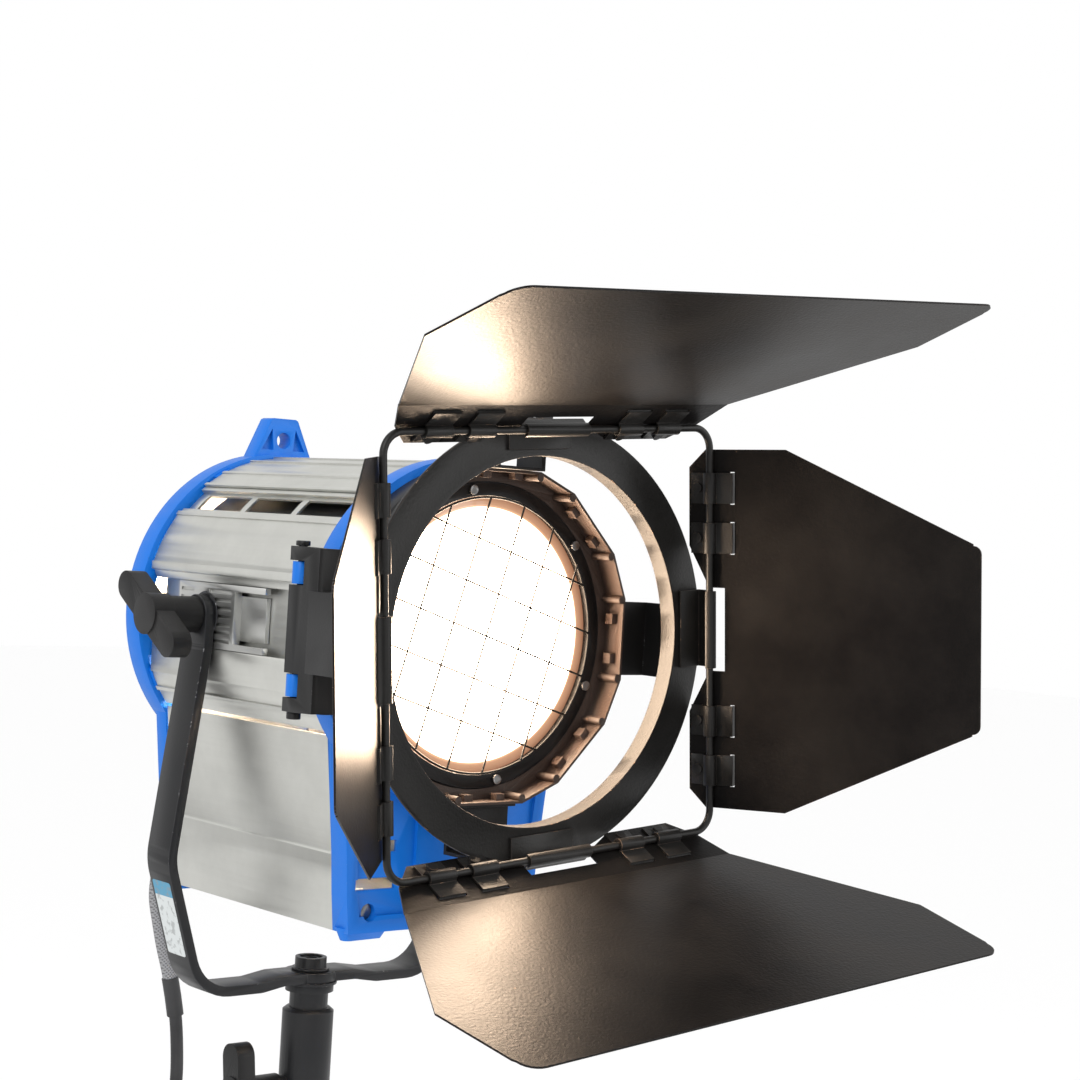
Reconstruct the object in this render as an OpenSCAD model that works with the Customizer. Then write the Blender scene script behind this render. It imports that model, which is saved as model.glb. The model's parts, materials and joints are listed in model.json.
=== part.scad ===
// Fresnel spotlight on a yoke, with a rotating four-leaf barndoor.
// Millimetres, +Z up. The origin is the centre of the stand socket's mouth, and the lamp faces -Y.
// Head pieces are drawn in the lens frame: origin at the centre of the lens face, +Y towards the rear.

/* [Lens and head] */
// Clear radius of the lens
lens_r = 85; // [80:0.5:90]
// Outer radius of the front and rear castings
barrel_r = 107.3; // [105:0.1:110]
// Front face of the front casting, behind the lens face
casting_y = 19; // [17:0.5:22]
// Length of the front and rear casting rings
ring_len = 16; // [13:0.5:18]
// Length of the aluminium shell between the castings
shell_len = 188; // [160:1:220]
// Outer radius of the shell
shell_r = 104.5; // [103:0.1:106]
// Wall of the shell
shell_wall = 3; // [2:0.1:4]
// Distance of the side rail's face from the centre plane
rail_x = 97; // [96:0.1:98]
// Half height of the side rail channel
rail_h = 25; // [22:0.5:27]
// Half width of the lower housing at its top
box_top_w = 83; // [81:0.5:85]
// Half width of the lower housing at its bottom
box_low_w = 71; // [66:0.5:74]
// Depth of the lower housing below the lens axis
box_depth = 182; // [175:1:190]

/* [Yoke and stand socket] */
// Height of the tilt axis above the socket's mouth
pivot_z = 332; // [325:1:345]
// Distance of the tilt axis behind the lens face
pivot_y = 158.5; // [150:0.5:165]
// Width of the yoke's bar
yoke_w = 26; // [22:0.5:30]
// Thickness of the yoke's bar
yoke_t = 6.5; // [5:0.1:7]
// Half width inside the yoke at the tilt axis
yoke_in = 98.6; // [98.6:0.1:101]
// Diameter of the socket bore, for a 16 mm spigot
socket_d = 16.2; // [16.1:0.1:17]
// Outer diameter of the stand socket
socket_od = 34; // [30:0.5:38]
// Depth of the socket bore
socket_depth = 68; // [55:1:70]

/* [Barndoor] */
// Inner radius of the barndoor ring
ring_in = 110; // [108:0.5:112]
// Outer radius of the barndoor ring
ring_out = 132.4; // [130:0.1:134]
// Front face of the barndoor ring, ahead of the lens face
ring_y = 55; // [54:0.5:57]
// Half side of the square rod frame
rod_half = 125.4; // [124:0.1:127]
// Diameter of the rod frame's rod
rod_d = 4.5; // [4:0.1:5]
// Distance of the rod frame ahead of the ring's front face
rod_rise = 16; // [16:0.5:20]
// Length of the two large leaves
big_len = 195; // [170:1:215]
// Length of the two small leaves
small_len = 172; // [150:1:185]
// Angle of the top leaf's main panel, outwards from straight ahead
top_angle = 18.5; // [10:0.5:40]
// Angle of the bottom leaf's main panel
bottom_angle = 13; // [10:0.5:40]
// Angle of the right leaf
right_angle = 22; // [10:0.5:45]
// Angle of the left leaf
left_angle = 43.5; // [10:0.5:45]
// Turn of the whole barndoor about the lens axis
door_turn = 4.75; // [0:0.25:10]

/* [Cord] */
// Diameter of the mains cord
cord_d = 9; // [8.5:0.1:9.5]

/* [Hidden] */
$fn = 96;
BLUE = "#1272d6";
ALU = "#b9bbb4";
BLACK = "#17181a";
WORN = "#2b2522";
CLEAR = 0.4;

// Places along the head, behind the lens face
shell_y0 = casting_y + ring_len + 1;
shell_y1 = shell_y0 + shell_len - 3;
rear_y = shell_y0 + shell_len;
rear_end = rear_y + ring_len;
// The lower housing's front face sits behind the front ring's face
box_y0 = casting_y + 3;
box_wall = 16;
box_mid_z = -135;
box_low_z = -159;
box_mid_w = box_low_w + (box_top_w - box_low_w) * 0.35;
seam_a = 38;

module head() translate([0, -pivot_y, pivot_z]) children();
module along_y(y0, y1) translate([0, y1, 0]) rotate([90, 0, 0]) linear_extrude(y1 - y0) children();
module turned_y() rotate([-90, 0, 0]) rotate_extrude() children();
module bar_x(x0, x1, d) translate([x0, 0, 0]) rotate([0, 90, 0]) cylinder(h = x1 - x0, d = d);
module bar_y(y0, y1, d) translate([0, y0, 0]) rotate([-90, 0, 0]) cylinder(h = y1 - y0, d = d);
module box(x0, x1, y0, y1, z0, z1) translate([x0, y0, z0]) cube([x1 - x0, y1 - y0, z1 - z0]);
module both() { children(); mirror([1, 0, 0]) children(); }
module wedge(a0, a1, r = 160) polygon([[0, 0], for (k = [0:4]) let (a = a0 + (a1 - a0) * k / 4)
    [r * cos(a), r * sin(a)]]);
module arc_wall(r0, r1, a0, a1) intersection() {
    difference() { circle(r1); circle(r0); }
    wedge(a0, a1);
}

// A path with its corners rounded, and a bar of constant thickness along it
function unit(v) = v / norm(v);
function corner(a, b, c, r, n) = let (u = unit(a - b), w = unit(c - b),
    half = acos(min(1, max(-1, u * w))) / 2, m = unit(u + w), o = b + m * r / sin(half),
    p = b + u * r / tan(half), q = b + w * r / tan(half),
    a0 = atan2(p[1] - o[1], p[0] - o[0]), a1 = atan2(q[1] - o[1], q[0] - o[0]),
    d = (a1 - a0 + 540) % 360 - 180)
    [for (k = [0:n]) o + r * [cos(a0 + d * k / n), sin(a0 + d * k / n)]];
function round_path(p, r, n = 8) = [p[0], for (i = [1:len(p) - 2])
    each (r[i] > 0 ? corner(p[i - 1], p[i], p[i + 1], r[i], n) : [p[i]]), p[len(p) - 1]];
function side_of(p, i) = let (a = p[max(0, i - 1)], b = p[i], c = p[min(len(p) - 1, i + 1)],
    u = i == 0 ? unit(c - b) : unit(b - a), w = i == len(p) - 1 ? u : unit(c - b), m = unit(u + w))
    [-m[1], m[0]] / (m * u);
module strip(p, t) polygon(concat([for (i = [0:len(p) - 1]) p[i] + side_of(p, i) * t / 2],
    [for (i = [len(p) - 1:-1:0]) p[i] - side_of(p, i) * t / 2]));

// ---------------------------------------------------------------- yoke and stand socket
yoke_low = 240;
yoke_rise = 3;
widest_z = -155;
widest_x = yoke_in + yoke_t / 2 + 17.7;
arm_x = yoke_in + yoke_t / 2;
yoke_top = yoke_low - yoke_rise - yoke_t / 2;
function half_yoke() = [[arm_x, 0], [arm_x, -20], [widest_x, widest_z], [widest_x - 27, -yoke_low],
    [46, -yoke_low], [28, yoke_rise - yoke_low], [20, yoke_rise - yoke_low]];
module yoke_half() {
    p = round_path(half_yoke(), [0, 40, 40, 30, 20, 20, 0]);
    along_y(-yoke_w / 2, yoke_w / 2) strip(p, yoke_t);
    bar_x(yoke_in, yoke_in + yoke_t, yoke_w);
}
module yoke() color(BLACK) translate([0, 0, pivot_z]) difference() {
    union() {
        both() yoke_half();
        box(-20.5, 20.5, -yoke_w / 2, yoke_w / 2, -yoke_low + yoke_rise - yoke_t / 2, -yoke_top);
        translate([0, 0, -yoke_low + yoke_rise - yoke_t / 2]) cylinder(h = yoke_t, d = yoke_w + 8);
    }
    both() bar_x(yoke_in - 5, yoke_in + yoke_t + 5, pivot_d + 0.4);
    translate([0, 0, -yoke_low - 9]) cylinder(h = 30, d = stem_d + 0.4);
    translate([-widest_x + 4, 3, -182]) rotate([0, 18, 0]) bar_x(-20, 20, 4.2);
}
pivot_d = 12;
stem_d = 15;
under_z = pivot_z - yoke_low + yoke_rise - yoke_t / 2;
washer_t = 2;
flange_t = 5;
neck_len = 11;
body_top = under_z - washer_t - flange_t - neck_len;
handle_z = 20;
screw_d = 10;
module stand_socket() color(BLACK) difference() {
    union() {
        cylinder(h = body_top - 2, d = socket_od);
        translate([0, 0, body_top - 2]) cylinder(h = 2, d1 = socket_od, d2 = socket_od - 5);
        translate([0, 0, body_top - 0.01]) cylinder(h = neck_len + 0.02, d = 25.5);
        translate([0, 0, under_z - washer_t - flange_t]) cylinder(h = flange_t, d = 32);
        translate([0, 0, under_z - washer_t - 0.01]) cylinder(h = washer_t + yoke_t + 7.6, d = stem_d);
        translate([0, 0, handle_z]) bar_x(-socket_od / 2 - 5, -10, 19);
    }
    translate([0, 0, -1]) cylinder(h = socket_depth + 1, d = socket_d);
    translate([0, 0, handle_z]) bar_x(-socket_od / 2 - 6, 0, screw_d + 0.2);
    translate([0, 0, under_z - 8]) cylinder(h = 60, d = 8.4);
}
module socket_nut() color(BLACK) translate([0, 0, under_z + yoke_t + 0.02]) difference() {
    union() {
        cylinder(h = 1.8, d = 25);
        translate([0, 0, 1.8]) cylinder(h = 7, d = 21);
    }
    translate([0, 0, -1]) cylinder(h = 20, d = stem_d);
}
module socket_washer() color(BLACK) translate([0, 0, under_z - washer_t]) difference() {
    cylinder(h = washer_t, d = 36);
    translate([0, 0, -1]) cylinder(h = 9, d = stem_d + 0.2);
}
// A moulded T-handle: its hub lies along -X from the origin, and the bar crosses its far end
module t_handle(hub, bar_len) {
    difference() {
        bar_x(-hub, 0, 23);
        bar_x(-7, 1, 15);
    }
    translate([-hub - 4, 0, 0]) hull() for (s = [-1, 1]) translate([0, s * (bar_len / 2 - 9), 0])
        rotate([0, 90, 0]) cylinder(h = 13, d = 18, center = true, $fn = 32);
    translate([-hub - 4, 0, 0]) rotate([0, 90, 0]) cylinder(h = 15, d = 26, center = true);
}
module socket_handle() color(BLACK) translate([-socket_od / 2 - 5.3, 0, handle_z]) {
    rotate([82, 0, 0]) t_handle(24, 68);
    bar_x(-7, socket_od / 2 - socket_d / 2 + 5.3 - CLEAR, screw_d);
}

// ---------------------------------------------------------------- slide clamps on the rails
clamp_len = 66;
clamp_back = rail_x - 8;
clamp_face = yoke_in - 1.2;
module clamp_profile() {
    polygon([[clamp_back, -14], [clamp_back, 14], [clamp_back + 3, 14], [clamp_back + 3, 18],
        [clamp_face - 4, 18], [clamp_face - 4, 20.5], [clamp_face, 20.5], [clamp_face, -20.5],
        [clamp_face - 4, -20.5], [clamp_face - 4, -18], [clamp_back + 3, -18], [clamp_back + 3, -14]]);
}
module slide_clamp() translate([0, -clamp_len / 2, 0]) difference() {
    union() {
        along_y(0, clamp_len) clamp_profile();
        for (s = [-1, 1]) along_y(-34, 0.01)
            polygon([[clamp_face - 4, s * 16.5], [clamp_face, s * 16.5], [clamp_face, s * 20.5],
                [clamp_face - 4, s * 20.5]]);
        along_y(-28, 0.01) polygon([[clamp_back, -14], [clamp_back + 3, -14], [clamp_back + 3, 14],
            [clamp_back, 14]]);
    }
    for (k = [-3:3]) along_y(4, clamp_len - 36)
        translate([clamp_face, k * 5.2]) square([3, 2], center = true);
    for (k = [-3:3]) along_y(clamp_len - 18, clamp_len - 3)
        translate([clamp_face, k * 5.2]) square([3, 2], center = true);
    translate([0, clamp_len / 2, 0]) bar_x(clamp_back - 5, clamp_face + 5, pivot_d);
}
module slide_clamp_left() color(ALU) translate([0, 0, pivot_z]) mirror([1, 0, 0]) slide_clamp();
module slide_clamp_right() color(ALU) translate([0, 0, pivot_z]) slide_clamp();
handle_gap = 0.4;
module pivot_bolts() color(BLACK) translate([0, 0, pivot_z]) {
    both() bar_x(clamp_back + 0.5, yoke_in + yoke_t + 6, pivot_d);
    both() difference() { bar_x(clamp_face, yoke_in - 0.3, 30); bar_x(clamp_face - 1, yoke_in, pivot_d); }
    translate([yoke_in + yoke_t + 0.4, 0, 0]) rotate([0, 90, 0]) difference() {
        cylinder(h = 10, d = 24, $fn = 6);
        translate([0, 0, -1]) cylinder(h = 12, d = pivot_d);
    }
}
module tilt_handle() color(BLACK) translate([-yoke_in - yoke_t - handle_gap, 0, pivot_z]) {
    rotate([32, 0, 0]) t_handle(25, 80);
}

// ---------------------------------------------------------------- castings
function box_side(inset = 0) = [[box_top_w - inset, -62], [box_mid_w - inset, box_mid_z],
    [box_low_w + 2.4 - inset, box_low_z], [box_low_w - inset, -box_depth + inset]];
module box_outline(inset = 0) polygon(concat(box_side(inset),
    [for (k = [3:-1:0]) let (p = box_side(inset)[k]) [-p[0], p[1]]]));
focus_x = -55.4;
focus_z = -170;
slot_w = 31;
module hinge_lugs() for (z = [-33, 33]) translate([-hinge_x, hinge_y, z - 6.5]) difference() {
    hull() { cylinder(h = 13, d = 11, $fn = 32); translate([14, 0, 0]) cylinder(h = 13, d = 9, $fn = 32); }
    translate([0, 0, -1]) cylinder(h = 15, d = 5.2);
}
module front_casting() color(BLUE) head() difference() {
    union() {
        turned_y() translate([shell_r - shell_wall - 8, casting_y])
            square([barrel_r - shell_r + shell_wall + 8, ring_len]);
        along_y(box_y0, box_y0 + box_wall) difference() {
            box_outline();
            circle(shell_r - shell_wall - 4);
        }
        for (s = [-1, 1]) hull() for (x = [44, 66]) translate([s * x, box_y0 + box_wall / 2, -box_depth - 5])
            cylinder(h = 8, d1 = x > 50 ? 8 : 5, d2 = box_wall - 1, $fn = 24);
        hinge_lugs();
        for (z = [-13.5, 13.5]) box(barrel_r - 4, catch_x + 4, catch_y - 5, catch_y + 5, z - 3.5, z + 3.5);
    }
    // Hollow behind the front wall, and the sunk panel in its face
    along_y(box_y0 + 5, box_y0 + box_wall + 1) difference() {
        box_outline(4);
        translate([focus_x, focus_z]) circle(9);
        circle(shell_r - shell_wall);
    }
    along_y(box_y0 - 1, box_y0 + 2.5) difference() {
        intersection() {
            box_outline(8);
            translate([-80, -box_depth + 10]) square([160, 70]);
        }
        square([46, 400], center = true);
    }
    for (s = [-1, 1], z = [-130.5, -153]) box(s * 52 - slot_w / 2, s * 52 + slot_w / 2,
        box_y0 - 1, box_y0 + box_wall + 1, z - 3.5, z + 3.5);
    translate([focus_x, 0, focus_z]) bar_y(box_y0 - 2, box_y0 + box_wall + 2, 10.5);
    turned_y() translate([0, box_y0 - 30]) square([shell_r - shell_wall - 8, 80]);
    translate([-hinge_x, hinge_y, -60]) cylinder(h = 120, d = 5.2);
    translate([catch_x, catch_y, -20]) cylinder(h = 40, d = 3.2);
}
catch_x = barrel_r + 5.2;
catch_y = casting_y + 8;
lug_z = 117;
module safety_lug() difference() {
    along_y(rear_y + 2, rear_end - 1)
        polygon([[-24, barrel_r - 4], [-11, 131], [-9, 132], [9, 132], [11, 131], [24, barrel_r - 4]]);
    for (s = [-1, 1]) translate([0, rear_y + 5, 0]) rotate([90, 0, 0]) linear_extrude(9)
        polygon([[s * 9.5, 125], [s * 8, barrel_r + 3], [s * 17.5, barrel_r + 3]]);
    translate([0, 0, lug_z]) bar_y(rear_y - 5, rear_end + 5, 11);
}
module rear_casting() color(BLUE) head() difference() {
    union() {
        turned_y() translate([97, rear_y]) square([barrel_r - 97, ring_len]);
        // Bridges that carry the shell's end
        for (a = [62, 90, 118, 0, 180, 206, 334]) intersection() {
            turned_y() translate([96, rear_y - 2.8]) square([9, 6]);
            rotate([0, -a, 0]) box(80, 120, rear_y - 4, rear_y + 4, -7, 7);
        }
        along_y(rear_y, rear_end - 4) difference() {
            box_outline();
            circle(97.5);
            box_outline(6);
        }
        for (s = [-1, 1]) box(s * 52 - 14, s * 52 + 14, rear_y, rear_end - 4, -box_depth - 5, -box_depth + 1);
        safety_lug();
    }
    turned_y() translate([0, rear_y - 30]) square([96, 80]);
}

// ---------------------------------------------------------------- shell
vent_a = [39, 51];
module shell_top() color(ALU) head() along_y(shell_y0, shell_y1) union() {
    arc_wall(shell_r - shell_wall, shell_r, 52.2, 127.8);
    // Long cooling ribs
    for (a = [52.9, 61.5, 74.2, 84.7, 95.3, 105.8, 118.5, 127.1])
        arc_wall(shell_r - 0.5, shell_r + 1.3, a - 0.7, a + 0.7);
    for (s = [-1, 1]) arc_wall(shell_r - shell_wall - 5, shell_r - shell_wall + 1, 90 + s * 36 - 1, 90 + s * 36 + 1);
}
module vent_grille() difference() {
    along_y(shell_y0, shell_y1) union() {
        arc_wall(shell_r - 6, shell_r - 4, 38.3, 51.9);
        for (a = [39.2, 51]) arc_wall(shell_r - 6, shell_r - 0.6, a - 0.9, a + 0.9);
    }
    for (k = [0:2]) rotate([0, -45, 0]) box(80, 120, shell_y0 + 9 + k * (shell_y1 - shell_y0 - 12) / 3,
        shell_y0 + 9 + (k + 1) * (shell_y1 - shell_y0 - 12) / 3 - 6, -7.5, 7.5);
}
module vent_grille_right() color(ALU) head() vent_grille();
module vent_grille_left() color(ALU) head() mirror([1, 0, 0]) vent_grille();
// Below the tilt axis the side stops short of the yoke's arms, which lean out past it
lip_x = yoke_in - 1.2;
module side_profile() intersection() {
    // Upper panel, rail channel with undercut lips, and the ribbed lower panel
    union() {
        arc_wall(shell_r - shell_wall, shell_r, 16, 38);
        arc_wall(shell_r - 0.4, shell_r + 1.2, 36.4, 38);
        arc_wall(shell_r - shell_wall, shell_r, -36.3, -16);
        for (a = [-22, -29.5]) arc_wall(shell_r - 0.4, shell_r + 1.6, a - 0.8, a + 0.8);
        for (s = [-1, 1]) polygon([[clamp_back - 4, s * 31.5], [101, s * 31.5], [101, s * 26.5],
            [rail_x + 1.5, s * 25.5], [rail_x, s * 21], [rail_x - 3.2, s * 21], [rail_x - 3.2, s * 24],
            [clamp_back - 4, s * 24]]);
        polygon([[clamp_back - 4, -25], [clamp_back - 0.3, -25], [clamp_back - 0.3, 25], [clamp_back - 4, 25]]);
    }
    union() {
        translate([0, -80]) square([lip_x, 81]);
        square([120, 80]);
    }
}
module side_extrusion_right() color(ALU) head() along_y(shell_y0, shell_y1) side_profile();
module side_extrusion_left() color(ALU) head() mirror([1, 0, 0]) along_y(shell_y0, shell_y1) side_profile();
panel_y0 = box_y0 + box_wall;
module lower_panel() along_y(panel_y0, shell_y1) {
    p = [[box_top_w, -64.2], [box_mid_w, box_mid_z], [box_low_w + 2.4, box_low_z], [box_low_w, -box_depth]];
    intersection() {
        strip([for (q = p) q - [1.3, 0]], 2.6);
        translate([0, -box_depth]) square([160, box_depth]);
    }
    translate([box_mid_w - 0.9, box_mid_z]) circle(1.4, $fn = 24);
}
module lower_panel_right() color(ALU) head() lower_panel();
module lower_panel_left() color(ALU) head() mirror([1, 0, 0]) lower_panel();
module bottom_plate() color(ALU) head() difference() {
    box(-box_low_w + 3, box_low_w - 3, panel_y0, shell_y1, -box_depth, -box_depth + 2.5);
    for (k = [0:8]) box(-30, 30, panel_y0 + 22 + k * 16, panel_y0 + 28 + k * 16,
        -box_depth - 1, -box_depth + 4);
}
module light_baffle() color("#3a3a3a") head() along_y(shell_y0 + 2, shell_y1 - 4) {
    arc_wall(88, 89.5, 26, 154);
    for (a = [70, 110]) arc_wall(89.3, shell_r - shell_wall - 0.1, a - 0.5, a + 0.5);
}
module rear_cover() color(ALU) head() difference() {
    along_y(rear_end - 7, rear_end - 4.5) union() {
        circle(96.8);
        difference() { box_outline(6.2); circle(barrel_r + 0.2); }
    }
    for (k = [0:6]) box(-55 + abs(k - 3) * 5, 55 - abs(k - 3) * 5, rear_end - 9, rear_end,
        -36 + k * 14, -31 + k * 14);
    translate([focus_x, 0, focus_z]) bar_y(rear_end - 9, rear_end, 7.4);
    translate([gland_x, 0, gland_z]) bar_y(rear_end - 9, rear_end, 12.4);
}

// ---------------------------------------------------------------- lamp carriage and focus drive
lamp_y = 120;
rod_z = -118;
rod_x = 34;
module reflector() color("#d9dade") head() translate([0, lamp_y + 4, 0]) turned_y()
    polygon([for (k = [0:10]) [46 * sin(k * 5.4), 46 * cos(k * 5.4) - 8],
        for (k = [10:-1:0]) [44.6 * sin(k * 5.4), 44.6 * cos(k * 5.4) - 8]]);
module bulb_glass() color("#eeeae0") head() translate([0, lamp_y - 8, -22]) {
    cylinder(h = 40, d = 21);
    translate([0, 0, 40]) sphere(d = 21);
}
module bulb_base() color("#d8d4c8") head() translate([0, lamp_y - 8, -42]) {
    cylinder(h = 20, d = 19);
    for (s = [-1, 1]) translate([s * 5, 0, -14]) cylinder(h = 14.5, d = 4);
}
module lamp_holder() color("#c9c2b0") head() translate([0, lamp_y - 8, -42]) difference() {
    translate([-19, -13, -24]) cube([38, 26, 24]);
    for (s = [-1, 1]) translate([s * 5, 0, -15]) cylinder(h = 20, d = 4.2);
}
module lamp_carriage() color("#8d8f90") head() difference() {
    union() {
        box(focus_x - 7, 48, lamp_y - 34, lamp_y + 34, -92, -88);
        for (s = [-1, 1]) box(s * rod_x - 7, s * rod_x + 7, lamp_y - 34, lamp_y + 34, rod_z - 7, -90);
        box(-20, 20, lamp_y - 22, lamp_y + 6, -89, -66.2);
        box(-10, 10, lamp_y + 42, lamp_y + 45, -92, 8);
        box(-10, 10, lamp_y + 30, lamp_y + 45, -92, -88);
        box(focus_x - 7, focus_x + 7, lamp_y - 14, lamp_y + 14, focus_z - 6.5, -88);
    }
    for (s = [-1, 1]) translate([s * rod_x, 0, rod_z]) bar_y(lamp_y - 40, lamp_y + 40, 8.3);
    translate([focus_x, 0, focus_z]) bar_y(lamp_y - 40, lamp_y + 40, 8.4);
}
module guide_rods() color("#c4c6c8") head() for (s = [-1, 1])
    translate([s * rod_x, 0, rod_z]) bar_y(box_y0 + 5, rear_end - 7, 8);
module focus_spindle() color("#a8aaac") head() translate([focus_x, 0, focus_z]) {
    bar_y(box_y0 + 6, box_y0 + box_wall + 4, 9.9);
    bar_y(box_y0 + box_wall + 3, rear_end - 12, 8);
    bar_y(rear_end - 13, rear_end + 10, 7);
}
module focus_knob() color(BLACK) head() translate([focus_x, rear_end - 1.5, focus_z]) difference() {
    union() {
        bar_y(0, 16, 28);
        for (a = [0:45:315]) rotate([0, a, 0]) translate([13, 0, 0]) bar_y(1, 15, 7);
    }
    bar_y(-1, 11.6, 7);
}

// ---------------------------------------------------------------- lens door
hinge_x = 116;
hinge_y = 27;
door_r = 103;
lens_t = 13;
module door_frame() color(BLACK) head() difference() {
    union() {
        turned_y() polygon([[lens_r + 1, lens_t + 3], [door_r - 7, lens_t + 3], [door_r - 7, casting_y - 0.4],
            [door_r - 1, casting_y - 0.4], [door_r, casting_y - 2], [door_r, 2], [door_r - 2, 0],
            [lens_r + 3.2, 0], [lens_r + 3.2, lens_t + 0.2], [lens_r + 1, lens_t + 0.2]]);
        hull() for (z = [-44, 44]) {
            translate([-hinge_x + 12, 4.3, z]) cube([8, 8, 8], center = true);
            translate([-hinge_x + 3, 10, z]) cube([6, 12, 8], center = true);
        }
        difference() {
            hull() for (z = [-44, 44]) {
                translate([-hinge_x - 1, hinge_y, z]) cube([9, 9, 9], center = true);
                translate([-hinge_x, 10, z]) cube([8, 12, 8], center = true);
            }
            for (z = [-33, 33]) box(-hinge_x - 9, -hinge_x + 22, casting_y - 1.5, casting_y + 20,
                z - 7.2, z + 7.2);
        }
    }
    turned_y() translate([0, casting_y - 0.4]) square([barrel_r + 1.2, 40]);
    turned_y() translate([0, -1]) square([lens_r + 1, 60]);
    translate([-hinge_x, hinge_y, -60]) cylinder(h = 120, d = 5.2);
}
skirt_a = 101.5;
skirt_len = 18;
skirt_half = 25.5;
function skirt_pts(g) = [for (k = [0:7], s = [-1, 1])
    let (a = 45 * k, r = skirt_a - g, h = skirt_half - g * 0.2) [r * cos(a) - s * h * sin(a), r * sin(a) + s * h * cos(a)]];
module door_skirt() color(WORN) head() {
    along_y(-skirt_len, -0.1) difference() { polygon(skirt_pts(0)); polygon(skirt_pts(1.6)); }
    along_y(-1.7, -0.1) difference() { polygon(skirt_pts(1)); circle(94); }
    for (p = skirt_pts(3.4)) translate([p[0], 0, p[1]]) bar_y(-skirt_len - 0.4, -1, 5);
    for (k = [0:7], s = [-1, 1]) rotate([0, 45 * k, 0])
        box(skirt_a - 5.6, skirt_a - 1, -12.5, -6, s * 12.5 - 3.2, s * 12.5 + 3.2);
}
module lens() color("#e9f2f4") head() turned_y() polygon(concat(
    [[0, lens_t], [0, 3]],
    [for (k = [1:9]) each [[9 * k, 3 + 0.035 * k * 9], [9 * k, 1.4 + 0.012 * k * 9]]],
    [[lens_r + 2.6, 3], [lens_r + 2.6, lens_t]]));
module retaining_ring() color(BLACK) head() turned_y()
    polygon([[lens_r, -3], [93.4, -3], [93.4, -0.2], [lens_r + 3, -0.2], [lens_r + 3, 2.2], [lens_r, 2.2]]);
module ring_screws() color("#8a8078") head() for (a = [20:60:320]) rotate([0, a, 0]) translate([89.5, 0, 0]) {
    bar_y(-5, -3.02, 6);
    bar_y(-3.2, -3.02, 3);
}
guard_y = -5.2;
wire_d = 1.3;
wire_gap = 27;
module wire_guard() color("#7d5f48") head() {
    turned_y() translate([84.2, -3.8]) circle(d = 1.5, $fn = 16);
    rotate([0, 17, 0]) {
        for (k = [-2:2]) translate([k * wire_gap, guard_y, -sqrt(84 * 84 - k * k * wire_gap * wire_gap)])
            cylinder(h = 2 * sqrt(84 * 84 - k * k * wire_gap * wire_gap), d = wire_d, $fn = 16);
        for (k = [-2:2]) translate([-sqrt(84 * 84 - k * k * wire_gap * wire_gap), guard_y + 1.1, k * wire_gap])
            rotate([0, 90, 0]) cylinder(h = 2 * sqrt(84 * 84 - k * k * wire_gap * wire_gap), d = wire_d, $fn = 16);
    }
}
ear_w = 47;
flange_y = -44;
flange_r = 127;
ear_out = flange_r + 3;
module ear() translate([0, 0, -ear_w / 2]) linear_extrude(ear_w)
    polygon([[skirt_a + 0.1, -5], [ear_out + 2.2, -5], [ear_out + 2.2, flange_y - 4.2], [flange_r - 5, flange_y - 4.2],
        [flange_r - 5, flange_y - 2.2], [ear_out, flange_y - 2.2], [ear_out, flange_y + 1.6], [flange_r - 5, flange_y + 1.6],
        [flange_r - 5, flange_y + 3.6], [ear_out, flange_y + 3.6], [ear_out, -7.2], [skirt_a + 2, -7.2],
        [skirt_a + 2, -14], [skirt_a + 0.1, -14]]);
module accessory_ears() color(BLACK) head() {
    for (a = [0, 90, 180]) rotate([0, a, 0]) ear();
    latch_bracket();
}
module hinge_pin() color("#3b3b3b") head() translate([-hinge_x, hinge_y, 0]) {
    translate([0, 0, -49]) cylinder(h = 98, d = 5);
    translate([0, 0, -53]) cylinder(h = 4.2, d = 8.5);
    translate([0, 0, 48.8]) cylinder(h = 3, d = 8.5);
}
module door_latch() color(BLACK) head() difference() {
    translate([catch_x, catch_y, 0]) {
        cylinder(h = 19, d = 8, center = true);
        cylinder(h = 35, d = 3, center = true);
        box(-2, 2, -18, -2, -9, 9);
        box(-10, 2, -20.5, -16.5, -9, 9);
        box(-1, 4, 0, 14, -9, 9);
    }
    turned_y() translate([0, casting_y - 17]) square([door_r + 0.3, 17.5]);
}
latch_y = -24;
latch_z = flange_r - 6;
module latch_bracket() {
    for (s = [-1, 1]) difference() {
        box(s * 17.5 - 1.5, s * 17.5 + 1.5, latch_y - 5, -5, skirt_a + 0.1, latch_z + 5);
        translate([0, latch_y, latch_z]) bar_x(-20, 20, 5.2);
    }
    box(-19, 19, latch_y - 5, -5, skirt_a + 0.1, skirt_a + 2);
}
module top_latch() color(BLACK) head() translate([0, latch_y, latch_z]) {
    bar_x(-21, 21, 5);
    box(-14, 14, -24.5, 2, 9.4, 11.4);
    box(-14, 14, -2, 2, 0, 11.4);
    box(-14, 14, -24.5, -22.5, 3, 11.4);
    box(-14, 14, -18, -16.2, 3, 11.4);
    box(-6, 6, -24.5, -22.5, 9, 18);
}

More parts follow.
